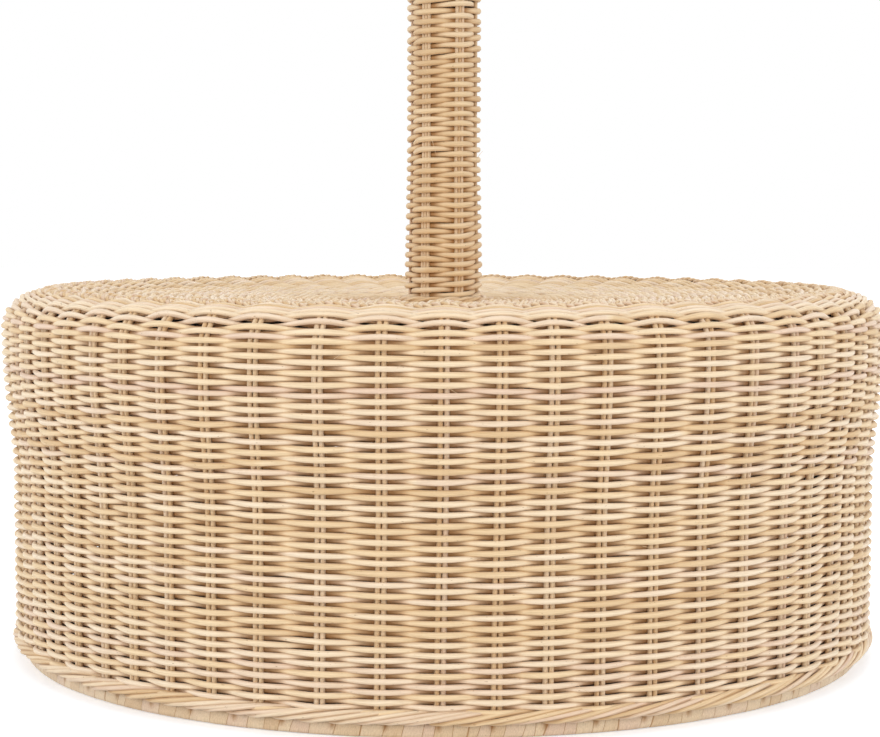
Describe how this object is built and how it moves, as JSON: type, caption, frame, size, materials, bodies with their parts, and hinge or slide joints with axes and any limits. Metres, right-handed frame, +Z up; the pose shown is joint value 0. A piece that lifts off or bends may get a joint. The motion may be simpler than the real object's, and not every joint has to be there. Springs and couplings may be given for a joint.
{
  "type": "floor lamp",
  "caption": "Floor lamp with a woven rattan drum base, a woven stem and a woven tapered drum shade carried on a harp.",
  "frame": {"origin": "on the floor under the lamp's axis: centre of the foot ring's underside", "axes": "+Z up along the stem; -Y is the front, where the switch knob points; the cord's grommet is at +Y, the harp spreads along X"},
  "size_m": [0.5012, 0.5012, 1.5192],
  "materials": {
    "rattan": "natural round rattan core, unvarnished, matt",
    "cane": "natural flat cane strip, slightly glossy",
    "frame_steel": "satin black paint on steel",
    "cast_iron": "rough casting, dark",
    "zinc_steel": "zinc plated",
    "brass": "brushed, lacquered",
    "rubber": "matt black",
    "hardboard": "brown pressed fibreboard",
    "phenolic": "black moulded phenolic",
    "paper": "pressed paper sleeve",
    "aluminium": "bare pressed shell",
    "opal_glass": "opal white glass"
  },
  "bodies": {
    "lamp": {"foot_ring": "cane", "foot_braid": "rattan", "base_side_weave": "rattan", "base_top_plait": "rattan", "base_top_weave": "rattan", "stem_foot_collar": "rattan", "stem_weave": "rattan", "stem_end_binding": "cane", "base_bottom_hoop": "frame_steel", "base_top_hoop": "frame_steel", "base_bottom_cross": "frame_steel", "base_top_cross": "frame_steel", "stem_flange": "frame_steel", "stem_tube": "frame_steel", "weight_plate": "cast_iron", "underside_cover": "hardboard", "cord_grommet": "rubber", "stem_cap": "brass", "stem_plug": "zinc_steel", "nipple_lock_nut": "zinc_steel", "threaded_nipple": "zinc_steel", "harp_saddle": "brass", "harp": "brass", "holder_cap": "brass", "holder_shell": "brass", "holder_switch_body": "phenolic", "holder_liner": "paper", "holder_screw_shell": "aluminium", "base_upright_1": "frame_steel", "base_upright_2": "frame_steel", "base_upright_3": "frame_steel", "base_upright_4": "frame_steel", "base_upright_5": "frame_steel", "base_upright_6": "frame_steel", "weight_bolt_1": "zinc_steel", "flange_bolt_1": "zinc_steel", "weight_bolt_2": "zinc_steel", "flange_bolt_2": "zinc_steel", "weight_bolt_3": "zinc_steel", "flange_bolt_3": "zinc_steel", "weight_bolt_4": "zinc_steel", "flange_bolt_4": "zinc_steel"},
    "shade": {"shade_weave": "rattan", "shade_top_braid": "rattan", "shade_bottom_braid": "rattan", "shade_top_wire": "frame_steel", "shade_bottom_wire": "frame_steel", "shade_spider": "frame_steel", "shade_rib_1": "frame_steel", "shade_rib_2": "frame_steel", "shade_rib_3": "frame_steel", "shade_rib_4": "frame_steel"},
    "finial": {"finial": "brass"},
    "bulb": {"bulb_cap": "aluminium", "bulb_glass": "opal_glass"},
    "switch": {"switch_shaft": "zinc_steel", "switch_knob": "phenolic"},
    "ferrule_left": {"harp_ferrule_left": "brass"},
    "ferrule_right": {"harp_ferrule_right": "brass"}
  },
  "joints": [
    {"name": "shade_turn", "type": "hinge", "parent": "lamp", "child": "shade", "pos_m": [0, 0, 1.4876], "axis": [0, 0, 1], "continuous": true},
    {"name": "finial_turn", "type": "hinge", "parent": "lamp", "child": "finial", "pos_m": [0, 0, 1.4876], "axis": [0, 0, 1], "continuous": true},
    {"name": "bulb_turn", "type": "hinge", "parent": "lamp", "child": "bulb", "pos_m": [0, 0, 1.28], "axis": [0, 0, 1], "continuous": true},
    {"name": "switch_turn", "type": "hinge", "parent": "lamp", "child": "switch", "pos_m": [0, -0.02, 1.26755], "axis": [0, -1, 0], "continuous": true},
    {"name": "ferrule_left_slide", "type": "slide", "parent": "lamp", "child": "ferrule_left", "axis": [0, 0, 1], "range_m": [0, 0.014]},
    {"name": "ferrule_right_slide", "type": "slide", "parent": "lamp", "child": "ferrule_right", "axis": [0, 0, 1], "range_m": [0, 0.014]}
  ]
}
